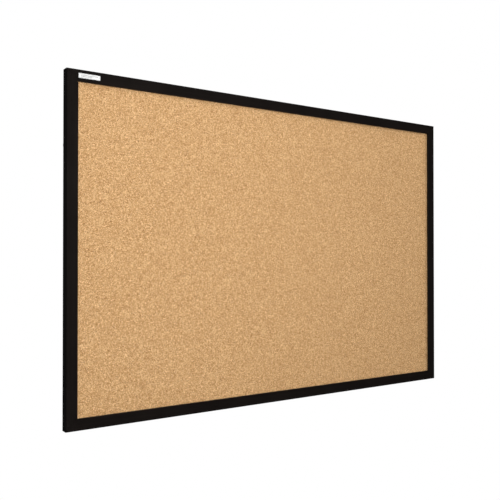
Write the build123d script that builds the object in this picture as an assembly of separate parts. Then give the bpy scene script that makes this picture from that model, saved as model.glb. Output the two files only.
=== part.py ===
from build123d import *
import os
from math import asin, atan2, cos, degrees, radians, sqrt, tan

# Cork bulletin board with a mitred black moulding, hung from strap hangers with D-rings.
# Millimetres. +X runs to the right as the front is seen, +Z is up, the cork faces -Y and the
# wall is on the +Y side. The origin is the centre of the whole object's box.

# ------------------------------------------------------------------ frame moulding
BOARD_WIDTH = 900.0          # over the outer edges of the stiles
BOARD_HEIGHT = 600.0         # over the outer edges of the rails
FACE_WIDTH = 20.0            # moulding, seen from the front
LIP_THICKNESS = 4.0          # front lip that overlaps the cork, so the cork's recess
RABBET_WIDTH = 7.0           # how far the lip reaches in past the land
BACK_RECESS = 3.0            # from the panel's back to the back of the moulding
OUTER_EDGE_RADIUS = 1.2      # front outer edge of the moulding
INNER_EDGE_RADIUS = 0.8      # front inner edge
BACK_EDGE_RADIUS = 0.6       # back outer edge
MITRE_EASING = 0.25          # side of the small square groove that eases each mitre line

# ------------------------------------------------------------------ panel, from front to back
CORK_THICKNESS = 2.5
CORE_THICKNESS = 5.0
BACKING_THICKNESS = 2.5
PANEL_CLEARANCE = 1.0        # all round, between the panel and the rabbet wall

# ------------------------------------------------------------------ V-nails across the mitres
NAIL_BAND = 1.0              # band width, measured along the mitre line
NAIL_DEPTH = 10.0
NAIL_SINK = 0.3              # below the back of the moulding
# The rest of a V-nail is in land widths, so that it stays inside the wood.
NAIL_HALF_SPAN_SHARE = 0.28  # across the mitre line, to each side
NAIL_RISE_SHARE = 0.2        # along the mitre line, wing tip to apex
NAIL_APEX_SHARES = (0.68, 1.08)  # along the mitre line, from the outer corner

# ------------------------------------------------------------------ framing points over the panel
POINT_SPACING = 150.0        # about this far apart along a member
POINT_WIDTH = 6.0
POINT_THICKNESS = 0.5
POINT_BITE = 7.0             # driven into the rabbet wall
POINT_REACH = 6.0            # out over the panel
POINT_NOSE = 2.0             # length of the pointed nose

# ------------------------------------------------------------------ D-ring strap hangers
WIRE_RADIUS = 1.0
RING_INNER_BEND = 0.5        # inside radius between the bar and a leg
RING_LEG = 2.5               # straight part of a leg
RING_SIDE_CLEARANCE = 0.6    # between a leg and the strap's barrel
RING_RUN_CLEARANCE = 0.08    # radial, wire in the strap's barrel
RING_REST_GAP = 0.3          # between the resting ring and the moulding
RING_EDGE_MARGIN = 0.5       # from the moulding's outer edge to the ring
RING_SCREW_CLEARANCE = 0.6   # from the ring, folded over the strap, to the first screw head
STRAP_EDGE_MARGIN = 0.4      # from the strap to the rabbet
STRAP_THICKNESS = 0.8        # one layer of the folded strap
STRAP_FOLD_GAP = 0.1         # between the two layers
STRAP_END = 5.5              # from the last screw to the rounded end
STRAP_SLOPE = 45.0           # degrees, where the upper layer leaves the barrel
STRAP_KNEE_RADIUS = 1.2      # centre line, where the upper layer comes down flat
SCREW_SPACING = 13.0
SCREW_SHANK_RADIUS = 1.5
SCREW_HEAD_RADIUS = 2.8
SCREW_HEAD_HEIGHT = 1.9
SCREW_HEAD_RIM = 0.5
SCREW_LENGTH = 12.5          # under the head
SCREW_TIP = 3.0
SCREW_HOLE_CLEARANCE = 0.2   # radial, in the strap
PILOT_CLEARANCE = 0.05       # radial, in the moulding
RECESS_WIDTH = 0.7           # cross recess in the screw head
RECESS_SPAN = 3.2
RECESS_DEPTH = 1.0

# ------------------------------------------------------------------ wall bumpers and label
BUMPER_RADIUS_SHARE = 0.4    # in land widths, so that the bumper stays on the wood
BUMPER_FLAT_SHARE = 0.6      # the flat that meets the wall, in bumper radii
BUMPER_STAND_OFF = 0.74      # from the hangers' barrels to the wall
BUMPER_RIM = 0.8
BUMPER_BULGE = 0.5           # how far the rounded flank stands off its chord
BUMPER_FROM_CORNER = 30.0
LABEL_WIDTH = 38.0
LABEL_HEIGHT = 8.0
LABEL_THICKNESS = 0.25
LABEL_CORNER_RADIUS = 0.8

# ------------------------------------------------------------------ derived sizes
LAND_WIDTH = FACE_WIDTH - RABBET_WIDTH
PANEL_WIDTH = BOARD_WIDTH - 2 * (LAND_WIDTH + PANEL_CLEARANCE)
PANEL_HEIGHT = BOARD_HEIGHT - 2 * (LAND_WIDTH + PANEL_CLEARANCE)

BARREL_INNER = WIRE_RADIUS + RING_RUN_CLEARANCE
BARREL_MIDDLE = BARREL_INNER + STRAP_THICKNESS / 2
BAR_HEIGHT = BARREL_INNER + STRAP_THICKNESS
STRAP_STACK = 2 * STRAP_THICKNESS + STRAP_FOLD_GAP
STRAP_FROM_EDGE = RING_EDGE_MARGIN + 2 * WIRE_RADIUS + RING_SIDE_CLEARANCE
STRAP_WIDTH = LAND_WIDTH - STRAP_FROM_EDGE - STRAP_EDGE_MARGIN
HANGER_FROM_EDGE = STRAP_FROM_EDGE + STRAP_WIDTH / 2

RING_HALF_WIDTH = STRAP_WIDTH / 2 + RING_SIDE_CLEARANCE + WIRE_RADIUS
RING_BEND_RADIUS = WIRE_RADIUS + RING_INNER_BEND
RING_REACH = RING_BEND_RADIUS + RING_LEG + RING_HALF_WIDTH
RING_TILT = degrees(asin((BAR_HEIGHT - WIRE_RADIUS - RING_REST_GAP) / RING_REACH))

FIRST_SCREW = RING_REACH + WIRE_RADIUS + RING_SCREW_CLEARANCE + SCREW_HEAD_RADIUS
SCREW_PLACES = (FIRST_SCREW, FIRST_SCREW + SCREW_SPACING)
STRAP_LENGTH = SCREW_PLACES[-1] + STRAP_END

BUMPER_RADIUS = BUMPER_RADIUS_SHARE * LAND_WIDTH
BUMPER_FLAT_RADIUS = BUMPER_FLAT_SHARE * BUMPER_RADIUS
BUMPER_HEIGHT = 2 * BAR_HEIGHT + BUMPER_STAND_OFF

# Planes across the board, from the label's front to the wall.
PANEL_THICKNESS = CORK_THICKNESS + CORE_THICKNESS + BACKING_THICKNESS
FRAME_DEPTH = LIP_THICKNESS + PANEL_THICKNESS + BACK_RECESS
OVERALL_DEPTH = LABEL_THICKNESS + FRAME_DEPTH + BUMPER_HEIGHT
FRONT_Y = -OVERALL_DEPTH / 2 + LABEL_THICKNESS
BACK_Y = FRONT_Y + FRAME_DEPTH
CORK_FRONT_Y = FRONT_Y + LIP_THICKNESS
CORE_FRONT_Y = CORK_FRONT_Y + CORK_THICKNESS
BACKING_FRONT_Y = CORE_FRONT_Y + CORE_THICKNESS
PANEL_BACK_Y = BACKING_FRONT_Y + BACKING_THICKNESS

# Each member: its outer length and the place of its outer edge's middle. In a member's own
# frame +X runs along it, -Z points into the board and Y is the board's own Y.
MEMBERS = {
    "top": (BOARD_WIDTH, Pos(0, 0, BOARD_HEIGHT / 2)),
    "bottom": (BOARD_WIDTH, Pos(0, 0, -BOARD_HEIGHT / 2) * Rot(0, 180, 0)),
    "left": (BOARD_HEIGHT, Pos(-BOARD_WIDTH / 2, 0, 0) * Rot(0, -90, 0)),
    "right": (BOARD_HEIGHT, Pos(BOARD_WIDTH / 2, 0, 0) * Rot(0, 90, 0)),
}
MEMBER_NODES = {
    "top": "frame_top_rail",
    "bottom": "frame_bottom_rail",
    "left": "frame_left_stile",
    "right": "frame_right_stile",
}
# Each corner by its name, with the signs of its X and Z.
CORNERS = {
    "top_left": (-1, 1),
    "top_right": (1, 1),
    "bottom_left": (-1, -1),
    "bottom_right": (1, -1),
}


def slab(outline, y_front, y_back):
    """A flat piece: an outline drawn as (x, z), from y_front back to y_back."""
    plane = Plane(origin=(0, y_back, 0), x_dir=(1, 0, 0), z_dir=(0, -1, 0))
    return extrude(plane * outline, amount=y_back - y_front)


def polygon(*points):
    """A flat outline with straight sides through the given points."""
    return make_face(Polyline(*points, close=True))


def turned(*edges):
    """A solid of revolution about the Y axis, from edges drawn as (radius, height)."""
    return revolve(make_face(Curve() + list(edges)), axis=Axis.Y)


# ------------------------------------------------------------------ moulding
def moulding(length):
    """One mitred member in its own frame, its outer edge along X at z = 0."""
    section_points = (
        (FRONT_Y, 0),
        (FRONT_Y, -FACE_WIDTH),
        (CORK_FRONT_Y, -FACE_WIDTH),
        (CORK_FRONT_Y, -LAND_WIDTH),
        (BACK_Y, -LAND_WIDTH),
        (BACK_Y, 0),
    )
    radii = (OUTER_EDGE_RADIUS, INNER_EDGE_RADIUS, 0, 0, 0, BACK_EDGE_RADIUS)
    section = make_face(FilletPolyline(*section_points, radius=radii, close=True))
    bar = extrude(Plane.YZ * section, amount=length / 2, both=True)
    half = length / 2
    mitred = polygon((-half, 0), (half, 0), (half - FACE_WIDTH, -FACE_WIDTH),
                     (FACE_WIDTH - half, -FACE_WIDTH))
    return bar & slab(mitred, FRONT_Y, BACK_Y)


def corner_place(signs):
    """Turns a drawing whose +Y runs down the mitre line from the outer corner."""
    x_sign, z_sign = signs
    angle = degrees(atan2(-z_sign, -x_sign)) - 90
    return Pos(x_sign * BOARD_WIDTH / 2, z_sign * BOARD_HEIGHT / 2) * Rot(0, 0, angle)


def mitre_easing(signs):
    """The small square bar whose corner cuts the easing along one mitre line, past both its ends."""
    x_sign, z_sign = signs
    length = 2 * FACE_WIDTH
    bar = Rot(0, 45 * x_sign * z_sign, 0) * Rot(0, 0, 45) * Box(MITRE_EASING, MITRE_EASING, length)
    x_middle = x_sign * (BOARD_WIDTH - FACE_WIDTH) / 2
    z_middle = z_sign * (BOARD_HEIGHT - FACE_WIDTH) / 2
    return Pos(x_middle, FRONT_Y, z_middle) * bar


# ------------------------------------------------------------------ corner V-nails
def nail_outline(apex):
    """One V-nail seen along its depth, its apex on the mitre line."""
    half_span = NAIL_HALF_SPAN_SHARE * LAND_WIDTH
    wing = apex - NAIL_RISE_SHARE * LAND_WIDTH
    return polygon(
        (-half_span, wing),
        (0, apex),
        (half_span, wing),
        (half_span, wing - NAIL_BAND),
        (0, apex - NAIL_BAND),
        (-half_span, wing - NAIL_BAND),
    )


def corner_nails(signs, top_y):
    """The V-nails of one corner, from their inner end out to top_y."""
    place = corner_place(signs)
    bottom_y = BACK_Y - NAIL_SINK - NAIL_DEPTH
    apexes = [share * LAND_WIDTH for share in NAIL_APEX_SHARES]
    return [slab(place * nail_outline(apex), bottom_y, top_y) for apex in apexes]


# ------------------------------------------------------------------ framing points
def point_places(length):
    """Places of the points along a member of this length, evenly spread."""
    count = max(2, round(length / POINT_SPACING))
    pitch = length / count
    return [(i + 0.5) * pitch - length / 2 for i in range(count)]


def framing_point(along):
    """One point in its member's frame, nose in the moulding, tail over the panel."""
    half = POINT_WIDTH / 2
    nose = -(LAND_WIDTH - POINT_BITE)
    tail = -(LAND_WIDTH + POINT_REACH)
    shape = polygon(
        (along, nose),
        (along + half, nose - POINT_NOSE),
        (along + half, tail),
        (along - half, tail),
        (along - half, nose - POINT_NOSE),
    )
    return slab(shape, PANEL_BACK_Y, PANEL_BACK_Y + POINT_THICKNESS)


def framing_points(side):
    length, place = MEMBERS[side]
    return [place * framing_point(along) for along in point_places(length)]


# ------------------------------------------------------------------ strap hangers
# In a hanger's own frame the ring's bar runs along X above the origin, the ring points along
# +Z, the strap runs down -Z, and Y is the height above the back of the moulding.
def hanger_run(length):
    """The ring bar's distance from the middle of its member: the screws lie midway
    between the two outermost framing points."""
    places = point_places(length)
    screws_middle = (places[-1] + places[-2]) / 2
    return screws_middle + sum(SCREW_PLACES) / len(SCREW_PLACES)


def hanger_places():
    """Each hanger's place: one pair points up, the other points along -X."""
    side_x = BOARD_WIDTH / 2 - HANGER_FROM_EDGE
    side_z = hanger_run(BOARD_HEIGHT)
    rail_x = -hanger_run(BOARD_WIDTH)
    rail_z = BOARD_HEIGHT / 2 - HANGER_FROM_EDGE
    return {
        "left": Pos(-side_x, BACK_Y, side_z),
        "right": Pos(side_x, BACK_Y, side_z),
        "top": Pos(rail_x, BACK_Y, rail_z) * Rot(0, -90, 0),
        "bottom": Pos(rail_x, BACK_Y, -rail_z) * Rot(0, -90, 0),
    }


def ring():
    """The D-ring: a bar, two bends, two legs and a half circle of round wire."""
    half = RING_HALF_WIDTH
    shoulder = RING_BEND_RADIUS + RING_LEG
    bar_and_legs = FilletPolyline(
        (-half, shoulder), (-half, 0), (half, 0), (half, shoulder), radius=RING_BEND_RADIUS)
    bow = ThreePointArc((half, shoulder), (0, shoulder + half), (-half, shoulder))
    path = Wire((bar_and_legs + bow).edges())
    wire = sweep(Plane(origin=path @ 0, z_dir=path % 0) * Circle(WIRE_RADIUS), path=path)
    # The ring is drawn with its bow towards +Y, then turned up to +Z and leant on the moulding.
    return Pos(0, BAR_HEIGHT, 0) * Rot(90 + RING_TILT, 0, 0) * wire


def strap():
    """The folded strap: two layers joined by the barrel that holds the ring's bar."""
    middle = BARREL_MIDDLE
    upper = STRAP_THICKNESS + STRAP_FOLD_GAP - middle
    under = Line((STRAP_LENGTH, -middle), (0, -middle))
    barrel = CenterArc((0, 0), middle, -90, STRAP_SLOPE - 270)
    leave = barrel @ 1
    knee = (leave.X + (leave.Y - upper) * tan(radians(STRAP_SLOPE)), upper)
    over = FilletPolyline(leave, knee, (STRAP_LENGTH, upper), radius=STRAP_KNEE_RADIUS)
    centre_line = Wire((under + barrel + over).edges())
    section = make_face(offset(centre_line, amount=STRAP_THICKNESS / 2, side=Side.BOTH))
    # The section is drawn as (-z, y) and runs across the strap's width.
    across = Plane(origin=(0, BAR_HEIGHT, 0), x_dir=(0, 0, -1), z_dir=(1, 0, 0))
    folded = extrude(across * section, amount=STRAP_WIDTH / 2, both=True)
    half = STRAP_WIDTH / 2
    body = polygon((-half, BAR_HEIGHT), (half, BAR_HEIGHT), (half, half - STRAP_LENGTH),
                   (-half, half - STRAP_LENGTH))
    rounded_end = Pos(0, half - STRAP_LENGTH) * Circle(half)
    hole = Circle(SCREW_SHANK_RADIUS + SCREW_HOLE_CLEARANCE)
    plan = body + rounded_end - [Pos(0, -place) * hole for place in SCREW_PLACES]
    return folded & slab(plan, 0, 2 * BAR_HEIGHT)


def screw():
    """A pan-head wood screw, its head's underside on the strap at the frame's origin."""
    crown = SCREW_HEAD_HEIGHT - SCREW_HEAD_RIM
    crown_radius = (SCREW_HEAD_RADIUS ** 2 + crown ** 2) / (2 * crown)
    half_out = SCREW_HEAD_RADIUS / 2
    half_up = SCREW_HEAD_HEIGHT - crown_radius + sqrt(crown_radius ** 2 - half_out ** 2)
    blank = turned(
        Line((0, SCREW_HEAD_HEIGHT), (0, -SCREW_LENGTH)),
        Line((0, -SCREW_LENGTH), (SCREW_SHANK_RADIUS, SCREW_TIP - SCREW_LENGTH)),
        Line((SCREW_SHANK_RADIUS, SCREW_TIP - SCREW_LENGTH), (SCREW_SHANK_RADIUS, 0)),
        Line((SCREW_SHANK_RADIUS, 0), (SCREW_HEAD_RADIUS, 0)),
        Line((SCREW_HEAD_RADIUS, 0), (SCREW_HEAD_RADIUS, SCREW_HEAD_RIM)),
        ThreePointArc((SCREW_HEAD_RADIUS, SCREW_HEAD_RIM), (half_out, half_up), (0, SCREW_HEAD_HEIGHT)),
    )
    slot = Pos(0, SCREW_HEAD_HEIGHT, 0) * Box(RECESS_SPAN, 2 * RECESS_DEPTH, RECESS_WIDTH)
    return blank - slot - Rot(0, 90, 0) * slot


def screws():
    return [Pos(0, STRAP_STACK, -place) * screw() for place in SCREW_PLACES]


def pilot_holes():
    """The drilled holes for one hanger's screws, a little longer than the screws."""
    depth = SCREW_LENGTH - STRAP_STACK + PILOT_CLEARANCE
    drill = Rot(90, 0, 0) * Cylinder(SCREW_SHANK_RADIUS + PILOT_CLEARANCE, 2 * depth)
    return [Pos(0, 0, -place) * drill for place in SCREW_PLACES]


# ------------------------------------------------------------------ bumpers and label
def bumper():
    """A rubber bumper, its base at the origin and its flat towards the wall."""
    chord = Vector(BUMPER_FLAT_RADIUS - BUMPER_RADIUS, BUMPER_HEIGHT - BUMPER_RIM)
    outwards = Vector(chord.Y, -chord.X).normalized() * BUMPER_BULGE
    flank = Vector(BUMPER_RADIUS, BUMPER_RIM) + chord / 2 + outwards
    return turned(
        Line((0, BUMPER_HEIGHT), (0, 0)),
        Line((0, 0), (BUMPER_RADIUS, 0)),
        Line((BUMPER_RADIUS, 0), (BUMPER_RADIUS, BUMPER_RIM)),
        ThreePointArc((BUMPER_RADIUS, BUMPER_RIM), flank, (BUMPER_FLAT_RADIUS, BUMPER_HEIGHT)),
        Line((BUMPER_FLAT_RADIUS, BUMPER_HEIGHT), (0, BUMPER_HEIGHT)),
    )


def bumper_place(signs):
    x_sign, z_sign = signs
    return Pos(x_sign * (BOARD_WIDTH / 2 - BUMPER_FROM_CORNER), BACK_Y,
               z_sign * (BOARD_HEIGHT - LAND_WIDTH) / 2)


def label():
    """The small label on the top rail, its left end at the frame's inner corner."""
    centre_x = -BOARD_WIDTH / 2 + FACE_WIDTH + LABEL_WIDTH / 2
    centre_z = (BOARD_HEIGHT - FACE_WIDTH) / 2
    shape = Pos(centre_x, centre_z) * RectangleRounded(LABEL_WIDTH, LABEL_HEIGHT, LABEL_CORNER_RADIUS)
    return slab(shape, FRONT_Y - LABEL_THICKNESS, FRONT_Y)


# ------------------------------------------------------------------ every piece by its node name
def build():
    pieces = {}
    hangers = hanger_places()
    pockets = [nail for signs in CORNERS.values() for nail in corner_nails(signs, BACK_Y)]
    easings = [mitre_easing(signs) for signs in CORNERS.values()]

    for side, (length, place) in MEMBERS.items():
        holes = [hangers[side] * hole for hole in pilot_holes()]
        cuts = pockets + easings + holes + framing_points(side)
        pieces[MEMBER_NODES[side]] = [place * moulding(length) - cuts]
        pieces["framing_points_" + side] = framing_points(side)
        pieces["hanger_strap_" + side] = [hangers[side] * strap()]
        pieces["hanger_ring_" + side] = [hangers[side] * ring()]
        pieces["hanger_screws_" + side] = [hangers[side] * one for one in screws()]

    for corner, signs in CORNERS.items():
        pieces["corner_nails_" + corner] = corner_nails(signs, BACK_Y - NAIL_SINK)
        pieces["wall_bumper_" + corner] = [bumper_place(signs) * bumper()]

    panel = Rectangle(PANEL_WIDTH, PANEL_HEIGHT)
    pieces["cork_sheet"] = [slab(panel, CORK_FRONT_Y, CORE_FRONT_Y)]
    pieces["softboard_core"] = [slab(panel, CORE_FRONT_Y, BACKING_FRONT_Y)]
    pieces["hardboard_back"] = [slab(panel, BACKING_FRONT_Y, PANEL_BACK_Y)]
    pieces["front_label"] = [label()]
    return pieces


os.makedirs("parts", exist_ok=True)
for node, shapes in build().items():
    solids = [solid for shape in shapes for solid in shape.solids()]
    export_step(Compound(children=solids), "parts/" + node + ".step")
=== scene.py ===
from math import cos, pi, radians, sin

import bmesh
import bpy
from mathutils import Matrix, Vector, noise


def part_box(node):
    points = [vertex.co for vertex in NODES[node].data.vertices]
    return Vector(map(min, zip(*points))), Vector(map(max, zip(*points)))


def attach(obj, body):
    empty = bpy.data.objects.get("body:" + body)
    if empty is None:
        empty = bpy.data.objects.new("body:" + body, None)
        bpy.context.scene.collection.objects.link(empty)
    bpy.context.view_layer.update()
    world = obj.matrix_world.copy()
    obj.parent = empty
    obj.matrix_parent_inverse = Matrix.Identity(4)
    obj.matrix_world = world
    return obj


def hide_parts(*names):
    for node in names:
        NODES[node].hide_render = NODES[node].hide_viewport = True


# The looks of a framed cork bulletin board. Metres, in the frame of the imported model:
# +X to the right as the front is seen, +Z up, the cork faces -Y.

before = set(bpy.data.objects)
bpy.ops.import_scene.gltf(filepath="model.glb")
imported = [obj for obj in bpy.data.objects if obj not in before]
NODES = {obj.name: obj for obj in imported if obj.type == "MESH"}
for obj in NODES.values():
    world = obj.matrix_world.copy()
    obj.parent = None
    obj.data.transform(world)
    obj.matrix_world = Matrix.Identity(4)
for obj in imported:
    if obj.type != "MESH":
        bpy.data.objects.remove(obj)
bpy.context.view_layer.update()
MM = 0.001

# ------------------------------------------------------------------ places, from the frame
RAIL_LOW, RAIL_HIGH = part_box("frame_top_rail")
CORK_LOW, CORK_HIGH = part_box("cork_sheet")
LABEL_LOW, LABEL_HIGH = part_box("front_label")

HALF_WIDTH = RAIL_HIGH.x
HALF_HEIGHT = RAIL_HIGH.z
FACE_WIDTH = RAIL_HIGH.z - RAIL_LOW.z
FRONT_Y = RAIL_LOW.y
CORK_Y = CORK_LOW.y

# ------------------------------------------------------------------ sizes of the finishes
# Wear and glue on the moulding: the distance where each starts, and where it is full. The
# glue line's distances from the mitre are measured along the member.
RUBBED_FROM_ARRIS = (1.1 * MM, 0.25 * MM)
NICKED_FROM_ARRIS = (1.6 * MM, 0.5 * MM)
GLUED_FROM_MITRE = (0.35 * MM, 0.15 * MM)
WRAP_WIDTH = 1.7 * MM        # least width of the lacquer on the back, along the outer edge
WRAP_WAVER = 0.8 * MM        # and how much further it may run
WRAP_FADE = 0.15 * MM
LIP_FADE = 0.2 * MM          # from lacquered lip to bare rabbet
SCREEN_PITCH = 1.6 * MM      # of the wires whose marks the hardboard carries

# The label's border and bars: distances in from its edge, and heights over its middle.
BORDER_OUTSIDE = 0.55 * MM
BORDER_INSIDE = 1.0 * MM
BORDER_FADE = 0.1 * MM
BAR_INSET = 4.0 * MM
BAR_FADE = 0.08 * MM
LABEL_BARS = (               # right end as a share of the room, height, half thickness
    (1.0, 1.0 * MM, 0.45 * MM),
    (0.35, -1.1 * MM, 0.40 * MM),
)

# ------------------------------------------------------------------ cork
CORK_COLUMNS = 384           # squares across the cork's face
CORK_ROWS = 246              # and up it
RELIEF_DEPTH = 0.28 * MM
CLUMP_SIZE = 4.2 * MM        # of the clumps of granules that stand out
SWELL_SIZE = 28 * MM         # of the slow swells under them
DARK_CORK = (0.355, 0.178, 0.058)
MIDDLE_CORK = (0.600, 0.352, 0.154)
PALE_CORK = (0.856, 0.566, 0.303)
FINEST_GRANULES = 1500.0     # granules to the metre
LARGER_GRANULES = (          # granules to the metre, and the share left to finer ones
    (880.0, 0.30),
    (560.0, 0.66),
)
BARK_FLECKS = 780.0          # cells to the metre, a few of which are bark
COARSE_SHAKE = (540.0, 1.0 * MM)     # bends of the granules' edges: how many, how far
FINE_SHAKE = (3200.0, 0.4 * MM)

# ------------------------------------------------------------------ camera, light and stage
CAMERA_PLACE = (-0.8498, -1.1155, -0.0126)
CAMERA_HEADING = 34.745      # degrees, from +Y towards +X
CAMERA_TILT = 0.602          # degrees, upwards
CAMERA_LENS = 49.85          # millimetres
CAMERA_SENSOR = 36.0         # millimetres across
FLOOR_DROP = 0.7             # from the board's lower edge to the floor
FLOOR_RADIUS = 4.0
FLOOR_FADE = (0.3, 1.2)      # how far from its middle it starts to fade, and has faded
SEEN_WHITE = 1.0             # brightness of the surround, as the camera sees it
AMBIENT = 0.33               # its light on the board
SHEEN_ROUND = 0.035          # in reflections, as if black flags stood round the board
SHEEN_ABOVE = 0.5            # except for a pale cloth over the board
SHEEN_BEHIND = 0.7           # and a pale wall behind it, low down and on its right


# ------------------------------------------------------------------ shader maths
class Value:
    """A shader socket whose sums add Math nodes to its own tree."""

    def __init__(self, shading, socket):
        self.shading = shading
        self.socket = socket

    def maths(self, operation, *operands):
        inputs = dict(enumerate(operands))
        return self.shading.node("Math", {"operation": operation}, inputs)

    def __add__(self, other):
        return self.maths("ADD", self, other)

    def __radd__(self, other):
        return self.maths("ADD", other, self)

    def __sub__(self, other):
        return self.maths("SUBTRACT", self, other)

    def __rsub__(self, other):
        return self.maths("SUBTRACT", other, self)

    def __mul__(self, other):
        return self.maths("MULTIPLY", self, other)

    def __rmul__(self, other):
        return self.maths("MULTIPLY", other, self)

    def __abs__(self):
        return self.maths("ABSOLUTE", self)

    def least(self, other):
        return self.maths("MINIMUM", self, other)

    def most(self, other):
        return self.maths("MAXIMUM", self, other)

    def power(self, exponent):
        return self.maths("POWER", self, exponent)

    def sine(self):
        return self.maths("SINE", self)

    def step(self, low, high):
        """0 below low and 1 above high, smooth between; low may be above high."""
        settings = {"interpolation_type": "SMOOTHSTEP"}
        inputs = {"Value": self, "From Min": low, "From Max": high}
        return self.shading.node("MapRange", settings, inputs)


class Shading:
    """A node tree being made, and the place that its patterns are worked out from."""

    def __init__(self, owner, coordinates):
        owner.use_nodes = True
        self.tree = owner.node_tree
        self.place = self.node("TexCoord", output=coordinates)
        separate = self.node("SeparateXYZ", inputs={0: self.place}).socket.node
        self.x, self.y, self.z = (Value(self, out) for out in separate.outputs)

    def node(self, kind, settings=None, inputs=None, output=0):
        """Adds a node: its settings first, then the value or link of each input."""
        node = self.tree.nodes.new("ShaderNode" + kind)
        for key, value in (settings or {}).items():
            if key == "stops":
                self.set_stops(node.color_ramp, value)
            else:
                setattr(node, key, value)
        for key, value in (inputs or {}).items():
            if isinstance(value, Value):
                self.tree.links.new(value.socket, node.inputs[key])
            else:
                node.inputs[key].default_value = value
        return Value(self, node.outputs[output])

    @staticmethod
    def set_stops(ramp, stops):
        while len(ramp.elements) < len(stops):
            ramp.elements.new(1.0)
        for element, (position, colour) in zip(ramp.elements, stops):
            element.position = position
            element.color = (*colour, 1.0)


class Finish(Shading):
    """A material being made: its constants are set at once, and feed() links what varies.

    Scales of noise and cells count to the metre, so cells at a scale of 1000 are 1 mm wide.
    """

    def __init__(self, name, **constants):
        self.material = bpy.data.materials.new(name)
        super().__init__(self.material, "Object")
        self.shader = self.tree.nodes["Principled BSDF"]
        for socket, value in constants.items():
            self.shader.inputs[socket.replace("_", " ")].default_value = value

    def ramp(self, value, *stops):
        return self.node("ValToRGB", {"stops": stops}, {0: value})

    def stretched(self, scale):
        """The object's place with its axes scaled, for a pattern that runs one way."""
        return self.node("Mapping", inputs={0: self.place, "Scale": scale})

    def noise(self, scale, detail=2.0, roughness=0.5, place=None):
        inputs = {"Vector": place or self.place, "Scale": scale, "Detail": detail,
                  "Roughness": roughness}
        return self.node("TexNoise", inputs=inputs)

    def shaken(self, place, scale, reach):
        """A place pushed about by noise, so that a pattern's edges turn ragged."""
        push = self.node("TexNoise", inputs={"Vector": place, "Scale": scale}, output="Color")
        inputs = {0: push, 1: (reach, reach, reach), 2: place}
        return self.node("VectorMath", {"operation": "MULTIPLY_ADD"}, inputs)

    def cells(self, place, scale, feature="F1", output="Distance"):
        inputs = {"Vector": place, "Scale": scale}
        return self.node("TexVoronoi", {"feature": feature}, inputs, output)

    def mix(self, factor, first, second):
        """The first colour turning into the second as the factor goes from 0 to 1."""
        inputs = {0: factor, 6: self.colour(first), 7: self.colour(second)}
        return self.node("Mix", {"data_type": "RGBA"}, inputs, 2)

    @staticmethod
    def colour(value):
        """A link as it is, or three numbers with the fourth that a colour socket takes."""
        return value if isinstance(value, Value) else (*value, 1.0)

    def channel(self, colour, which):
        """One of a colour's three parts, as a number."""
        separate = self.node("SeparateColor", inputs={0: colour}).socket.node
        return Value(self, separate.outputs[which])

    def bump(self, height, distance, strength=1.0, under=None):
        inputs = {"Height": height, "Distance": distance, "Strength": strength}
        if under is not None:
            inputs["Normal"] = under
        return self.node("Bump", inputs=inputs)

    def feed(self, **links):
        """Links values to the shader's sockets and returns the material."""
        for socket, value in links.items():
            self.tree.links.new(value.socket, self.shader.inputs[socket.replace("_", " ")])
        return self.material


# ------------------------------------------------------------------ finishes
def bare_fibreboard(moulding, fibres, glue_line):
    """The colour of the moulding's board where no lacquer covers it."""
    board = moulding.ramp(fibres, (0.30, (0.20, 0.125, 0.066)), (0.52, (0.36, 0.245, 0.145)),
                          (0.75, (0.47, 0.34, 0.21)))
    clouds = moulding.noise(9.0, 3.0).step(0.35, 0.7)
    board = moulding.mix(clouds * 0.35, board, (0.26, 0.17, 0.10))
    return moulding.mix(glue_line * 0.75, board, (0.070, 0.040, 0.022))


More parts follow.
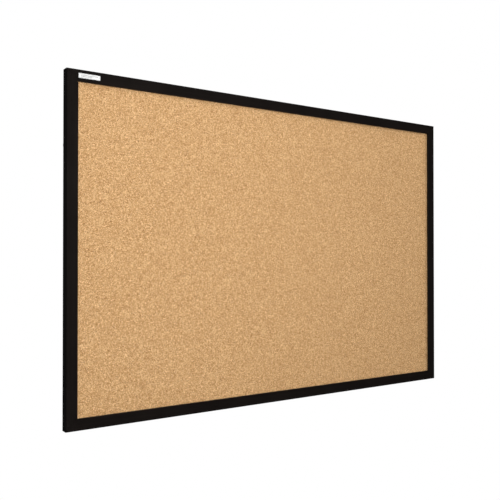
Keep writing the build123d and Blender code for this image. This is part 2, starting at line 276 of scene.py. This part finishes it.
def moulding_lacquer(name, along_x):
    """Satin black lacquer over fibreboard, with bare board on the back and in the rabbet."""
    moulding = Finish(name, IOR=1.45, Specular_IOR_Level=0.3)
    grain_scale = (6, 900, 420) if along_x else (420, 900, 6)
    fibre_scale = (420, 700, 700) if along_x else (700, 700, 420)
    grain = moulding.noise(1.0, 4.0, 0.6, moulding.stretched(grain_scale))
    fibres = moulding.noise(1.0, 5.0, 0.7, moulding.stretched(fibre_scale))
    peel = moulding.noise(900.0)
    clouds = moulding.noise(14.0, 3.0, 0.55)
    dust = moulding.noise(2600.0, 2.0, 0.6).step(0.68, 0.76)

    # Distances from the outer edges, and from the front outer and inner arrises.
    from_side = HALF_WIDTH - abs(moulding.x)
    from_end = HALF_HEIGHT - abs(moulding.z)
    from_outside = from_side.least(from_end)
    from_inside = FACE_WIDTH - from_outside
    from_front = moulding.y - FRONT_Y
    outer_arris = from_outside.most(from_front)
    inner_arris = from_inside.most(from_front)
    arris = outer_arris.least(inner_arris)
    rubbed = arris.step(*RUBBED_FROM_ARRIS) * moulding.noise(160.0, 5.0, 0.7).step(0.52, 0.72)
    nicks = arris.step(*NICKED_FROM_ARRIS) * moulding.noise(75.0, 6.0, 0.75).step(0.71, 0.75)

    lacquer = moulding.mix(clouds.step(0.35, 0.65), (0.0054, 0.0038, 0.0032), (0.0068, 0.0049, 0.0041))
    lacquer = moulding.mix(grain.step(0.40, 0.75) * 0.5, lacquer, (0.0098, 0.0073, 0.0060))
    lacquer = moulding.mix(dust * 0.25, lacquer, (0.026, 0.023, 0.021))
    lacquer = moulding.mix(rubbed * 0.4, lacquer, (0.026, 0.019, 0.014))
    lacquer = moulding.mix(nicks, lacquer, (0.13, 0.085, 0.05))

    wrap_edge = WRAP_WIDTH + moulding.noise(60.0, 3.0) * WRAP_WAVER
    past_wrap = (from_outside - wrap_edge).step(0.0, WRAP_FADE)
    behind_lip = (moulding.y - CORK_Y).step(0.0, LIP_FADE)
    bare = past_wrap * behind_lip
    glue_line = abs(from_side - from_end).step(*GLUED_FROM_MITRE)
    colour = moulding.mix(bare, lacquer, bare_fibreboard(moulding, fibres, glue_line))

    satin = 0.42 + clouds * 0.10 + grain * 0.06 - rubbed * 0.10
    roughness = satin + bare * 0.45
    relief = grain * 0.5 + peel * 0.5 + dust * 0.6 - nicks * 3.0
    coarse = moulding.bump(fibres * bare, 0.12 * MM, 0.6)
    normal = moulding.bump(relief * (1 - bare), 0.03 * MM, 0.8, coarse)
    return moulding.feed(Base_Color=colour, Roughness=roughness, Normal=normal)


def granules(cork, place, count):
    """Cork granules, so many to the metre: their colour with painted shade at their edges, their dome
    and each one's chance.
    """
    chance = cork.cells(place, count, output="Color")
    seam = cork.cells(place, count, "DISTANCE_TO_EDGE")
    tone = cork.channel(chance, 0)
    colour = cork.ramp(tone, (0.0, DARK_CORK), (0.5, MIDDLE_CORK), (1.0, PALE_CORK))
    # Darker near each granule's edge, where its dome falls away: painted shade in the crevices between
    # granules.
    colour = cork.mix(seam.step(0.07, 0.0) * 0.55, colour, (0.20, 0.095, 0.036))
    return colour, seam.step(0.0, 0.22), cork.channel(chance, 2)


def cork_finish():
    """Pressed cork: packed granules of mixed size and tone, with a few bark flecks."""
    cork = Finish("pressed_cork", Specular_IOR_Level=0.15)
    ragged = cork.shaken(cork.shaken(cork.place, *COARSE_SHAKE), *FINE_SHAKE)

    # The finest granules fill in low between the larger ones.
    colour, dome, _ = granules(cork, ragged, FINEST_GRANULES)
    height = dome * 0.4
    for count, finer_share in LARGER_GRANULES:
        granule, dome, chance = granules(cork, ragged, count)
        chosen = chance.step(finer_share, finer_share + 0.01)
        colour = cork.mix(chosen, colour, granule)
        height = height + chosen * (dome - height)

    pores = cork.noise(2300.0, 3.0, 0.7)
    colour = cork.mix(pores.step(0.50, 0.72) * 0.35, colour, (0.36, 0.185, 0.072))
    colour = cork.mix(pores.step(0.48, 0.30) * 0.30, colour, (0.86, 0.60, 0.35))
    chance = cork.channel(cork.cells(ragged, BARK_FLECKS, output="Color"), 1)
    bark = chance.step(0.955, 0.960) * cork.noise(900.0).step(0.36, 0.48)
    colour = cork.mix(bark * 0.75, colour, (0.110, 0.046, 0.020))

    roughness = 0.80 + pores * 0.14 - bark * 0.12
    normal = cork.bump(height + pores * 0.3 - bark * 0.3, 0.25 * MM, 0.8)
    return cork.feed(Base_Color=colour, Roughness=roughness, Normal=normal)


def hardboard_finish():
    """Brown hardboard with its screen side out, with painted shade in the hollows of its screen marks.
    """
    hardboard = Finish("hardboard_screen_side", Specular_IOR_Level=0.25)
    fibres = hardboard.noise(1.0, 6.0, 0.72, hardboard.stretched((330, 330, 330)))
    flecks = hardboard.noise(1500.0, 3.0, 0.65)
    clouds = hardboard.noise(5.0, 4.0, 0.6)
    scuffs = hardboard.noise(1.0, 4.0, 0.6, hardboard.stretched((25, 25, 240))).step(0.64, 0.70)
    turns = pi / SCREEN_PITCH
    screen = abs((hardboard.x * turns).sine()) * abs((hardboard.z * turns).sine())

    colour = hardboard.ramp(fibres, (0.28, (0.085, 0.043, 0.021)), (0.5, (0.150, 0.080, 0.040)),
                            (0.75, (0.215, 0.122, 0.065)))
    colour = hardboard.mix(flecks.step(0.60, 0.72) * 0.5, colour, (0.30, 0.19, 0.11))
    colour = hardboard.mix(clouds.step(0.35, 0.7) * 0.3, colour, (0.105, 0.055, 0.028))
    colour = hardboard.mix(scuffs * 0.25, colour, (0.34, 0.23, 0.14))
    # Darker where the screen marks sink: painted shade in their hollows.
    colour = hardboard.mix((1 - screen) * 0.25, colour, (0.07, 0.035, 0.018))
    roughness = 0.62 + fibres * 0.25
    normal = hardboard.bump(screen * 0.7 + fibres * 0.5, 0.12 * MM, 0.7)
    return hardboard.feed(Base_Color=colour, Roughness=roughness, Normal=normal)


def softboard_finish():
    """Grey-brown insulation board of loose pressed fibres."""
    softboard = Finish("softboard")
    fibres = softboard.noise(1.0, 6.0, 0.75, softboard.stretched((260, 900, 260)))
    colour = softboard.ramp(fibres, (0.3, (0.19, 0.145, 0.095)), (0.7, (0.40, 0.32, 0.225)))
    normal = softboard.bump(fibres, 0.3 * MM)
    return softboard.feed(Base_Color=colour, Roughness=0.85 + fibres * 0.1, Normal=normal)


def steel_finish(name, tint, roughness, stain):
    """Blued or plated steel with drawn streaks and dull spots."""
    steel = Finish(name, Metallic=1.0)
    streaks = steel.noise(900.0, 4.0, 0.6, steel.stretched((1, 1, 0.15)))
    spots = steel.noise(420.0, 4.0, 0.65).step(0.50, 0.70)
    fine = steel.noise(6000.0, 2.0, 0.6)
    streak_tint = tuple(part * 0.8 for part in tint)
    spot_tint = tuple(part * 0.45 for part in tint)
    colour = steel.mix(streaks.step(0.3, 0.7) * 0.35, tint, streak_tint)
    colour = steel.mix(spots * stain, colour, spot_tint)
    rough = roughness + streaks * 0.12 + spots * (stain * 0.35) + fine * 0.06
    normal = steel.bump(streaks * 0.6 + fine * 0.4, 0.02 * MM, 0.7)
    return steel.feed(Base_Color=colour, Roughness=rough, Normal=normal)


def rubber_finish():
    """Matt black rubber with a dusty bloom and a finely pitted skin."""
    rubber = Finish("pad_rubber", Specular_IOR_Level=0.3)
    pits = rubber.noise(2600.0, 3.0, 0.6)
    bloom = rubber.noise(260.0, 4.0, 0.6).step(0.45, 0.7)
    colour = rubber.mix(bloom * 0.6, (0.016, 0.016, 0.017), (0.055, 0.053, 0.050))
    roughness = 0.62 + bloom * 0.2 + pits * 0.08
    normal = rubber.bump(pits, 0.05 * MM, 0.7)
    return rubber.feed(Base_Color=colour, Roughness=roughness, Normal=normal)


def printed_bar(along, up, left, right, height, half_thickness):
    """A bar between two ends, its middle at a height."""
    inside = along.step(left, left + BAR_FADE) * along.step(right, right - BAR_FADE)
    return inside * abs(up - height).step(half_thickness, half_thickness - BAR_FADE)


def label_finish():
    """White label stock with a thin grey border and two plain grey bars."""
    label = Finish("label_stock")
    middle = (LABEL_LOW + LABEL_HIGH) / 2
    half_width = (LABEL_HIGH.x - LABEL_LOW.x) / 2
    half_height = (LABEL_HIGH.z - LABEL_LOW.z) / 2
    along = label.x - middle.x
    up = label.z - middle.z
    inset = (half_width - abs(along)).least(half_height - abs(up))
    printed = (inset.step(BORDER_OUTSIDE, BORDER_OUTSIDE + BORDER_FADE)
               * inset.step(BORDER_INSIDE, BORDER_INSIDE - BORDER_FADE))
    room = half_width - BAR_INSET
    for share, height, half_thickness in LABEL_BARS:
        printed = printed.most(printed_bar(along, up, -room, share * room, height, half_thickness))

    fibres = label.noise(1800.0, 3.0, 0.6)
    smudge = label.noise(110.0, 3.0, 0.6).step(0.5, 0.8)
    colour = label.mix(fibres.step(0.3, 0.7), (0.74, 0.74, 0.725), (0.82, 0.82, 0.81))
    colour = label.mix(smudge * 0.2, colour, (0.62, 0.61, 0.58))
    colour = label.mix(printed * 0.9, colour, (0.13, 0.135, 0.15))
    normal = label.bump(fibres, 0.02 * MM, 0.5)
    return label.feed(Base_Color=colour, Roughness=0.42 + smudge * 0.15, Normal=normal)


# ------------------------------------------------------------------ pieces
def add_object(name, data):
    """A new object in the scene."""
    added = bpy.data.objects.new(name, data)
    bpy.context.scene.collection.objects.link(added)
    return added


def add_mesh(name, mesh, material):
    """A new object that holds the bmesh, all of one material."""
    data = bpy.data.meshes.new(name)
    mesh.to_mesh(data)
    mesh.free()
    data.materials.append(material)
    return add_object(name, data)


def cork_relief(place):
    """How far the cork's face lies below its highest granules, from 0 to 1."""
    distances, _ = noise.voronoi(place / CLUMP_SIZE)
    clump = min(1.0, distances[0] * 1.1)
    swell = 0.5 + 0.5 * noise.noise(place / SWELL_SIZE)
    return 0.65 * clump ** 2 + 0.35 * swell


def cork_panel():
    """The cork sheet, its face raised and sunk by clumps of granules."""
    mesh = bmesh.new()
    bmesh.ops.create_grid(mesh, x_segments=CORK_COLUMNS, y_segments=CORK_ROWS, size=0.5)
    front = list(mesh.verts)
    size = CORK_HIGH - CORK_LOW
    bmesh.ops.scale(mesh, vec=(size.x, size.z, 1), verts=front)
    bmesh.ops.rotate(mesh, matrix=Matrix.Rotation(radians(90), 3, "X"), verts=front)
    bmesh.ops.translate(mesh, vec=(0, CORK_Y, 0), verts=front)
    edges = [edge for edge in mesh.edges if edge.is_boundary]
    wall = bmesh.ops.extrude_edge_only(mesh, edges=edges)["geom"]
    behind = [item for item in wall if isinstance(item, bmesh.types.BMVert)]
    bmesh.ops.translate(mesh, vec=(0, size.y, 0), verts=behind)
    rim = [edge for edge in mesh.edges if edge.is_boundary]
    bmesh.ops.contextual_create(mesh, geom=rim)
    for vertex in front:
        vertex.co.y += RELIEF_DEPTH * cork_relief(vertex.co)
    bmesh.ops.recalc_face_normals(mesh, faces=mesh.faces)
    for face in mesh.faces:
        face.smooth = len(face.verts) == 4 and abs(face.normal.y) > 0.5

    panel = add_mesh("cork_panel", mesh, cork_finish())
    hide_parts("cork_sheet")
    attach(panel, "board")


def paint(material, *starts):
    """Gives a material to the CAD nodes whose names start in one of these ways."""
    for name, node in NODES.items():
        if name.startswith(starts):
            for slot in node.material_slots:
                slot.material = material


def build_object():
    cork_panel()
    paint(moulding_lacquer("rail_lacquer", along_x=True), "frame_top_rail", "frame_bottom_rail")
    paint(moulding_lacquer("stile_lacquer", along_x=False), "frame_left_stile", "frame_right_stile")
    paint(softboard_finish(), "softboard_core")
    paint(hardboard_finish(), "hardboard_back")
    paint(label_finish(), "front_label")
    paint(steel_finish("blued_steel", tint=(0.42, 0.42, 0.43), roughness=0.40, stain=0.5),
          "corner_nails", "framing_points")
    paint(steel_finish("plated_strap", tint=(0.62, 0.61, 0.58), roughness=0.28, stain=0.35),
          "hanger_strap")
    paint(steel_finish("plated_wire", tint=(0.66, 0.65, 0.62), roughness=0.22, stain=0.25),
          "hanger_ring")
    paint(steel_finish("plated_screw", tint=(0.60, 0.57, 0.48), roughness=0.30, stain=0.4),
          "hanger_screws")
    paint(rubber_finish(), "wall_bumper")


# ------------------------------------------------------------------ stage
def floor():
    """A white floor far below the board that fades into the surround."""
    mesh = bmesh.new()
    bmesh.ops.create_circle(mesh, cap_ends=True, segments=96, radius=FLOOR_RADIUS)
    bmesh.ops.translate(mesh, vec=(0, 0, -HALF_HEIGHT - FLOOR_DROP), verts=mesh.verts)
    white = Finish("floor_white", Base_Color=(0.9, 0.9, 0.9, 1), Roughness=0.9)
    lit = Value(white, white.shader.outputs[0])
    glow = white.node("Emission", inputs={"Color": (1, 1, 1, 1), "Strength": 1.0})
    faded = (white.x * white.x + white.y * white.y).power(0.5).step(*FLOOR_FADE)
    surface = white.node("MixShader", inputs={0: faded, 1: lit, 2: glow})
    output = white.tree.nodes["Material Output"]
    white.tree.links.new(surface.socket, output.inputs["Surface"])
    ground = add_mesh("floor", mesh, white.material)
    ground.visible_glossy = False
    ground.visible_diffuse = False


def surround():
    """An even white surround that the camera sees brighter than the board does."""
    world = bpy.data.worlds.new("studio")
    bpy.context.scene.world = world
    sky = Shading(world, "Generated")
    above = sky.z.step(0.45, 0.9) * SHEEN_ABOVE
    low_or_right = sky.x.step(-0.1, 0.4).most(sky.z.step(-0.5, -0.9))
    behind = sky.y.step(0.1, 0.5) * low_or_right * SHEEN_BEHIND
    rays = sky.node("LightPath").socket.node.outputs
    glossy = Value(sky, rays["Is Glossy Ray"])
    camera_ray = Value(sky, rays["Is Camera Ray"])
    lit = AMBIENT + glossy * (above.most(behind) + SHEEN_ROUND - AMBIENT)
    strength = lit + camera_ray * (SEEN_WHITE - AMBIENT)
    background = sky.tree.nodes["Background"]
    background.inputs["Color"].default_value = (1, 1, 1, 1)
    sky.tree.links.new(strength.socket, background.inputs["Strength"])


def soft_light(name, place, aim, size, power, in_sheen=False):
    """A round white light of so many watts, with no glare of its own unless it is in the sheen."""
    data = bpy.data.lights.new(name, "AREA")
    data.shape = "DISK"
    data.size = size
    data.energy = power
    light = add_object(name, data)
    light.visible_camera = False
    light.visible_glossy = in_sheen
    light.location = place
    light.rotation_euler = (Vector(aim) - Vector(place)).to_track_quat("-Z", "Y").to_euler()


def lights():
    middle = (0, 0, 0)
    soft_light("key", place=(-0.45, -1.2, 0.28), aim=(-0.45, 0, 0.28), size=1.4, power=16.3)
    soft_light("side", place=(3.8, -1.8, 2.6), aim=middle, size=1.5, power=140.0)
    soft_light("rear", place=(1.3, 2.5, 1.3), aim=middle, size=2.0, power=150.0)
    # A dim card within the board's width, so the frame's sides don't catch it.
    soft_light("rear_card", place=(0, 0.7, 0), aim=middle, size=0.88, power=1.4, in_sheen=True)


def camera():
    data = bpy.data.cameras.new("camera")
    data.lens = CAMERA_LENS
    data.sensor_width = CAMERA_SENSOR
    view = add_object("camera", data)
    heading = radians(CAMERA_HEADING)
    tilt = radians(CAMERA_TILT)
    ahead = Vector((sin(heading) * cos(tilt), cos(heading) * cos(tilt), sin(tilt)))
    view.location = CAMERA_PLACE
    view.rotation_euler = ahead.to_track_quat("-Z", "Y").to_euler()
    bpy.context.scene.camera = view


build_object()
floor()
surround()
lights()
camera()
bpy.context.scene.view_settings.view_transform = "Standard"
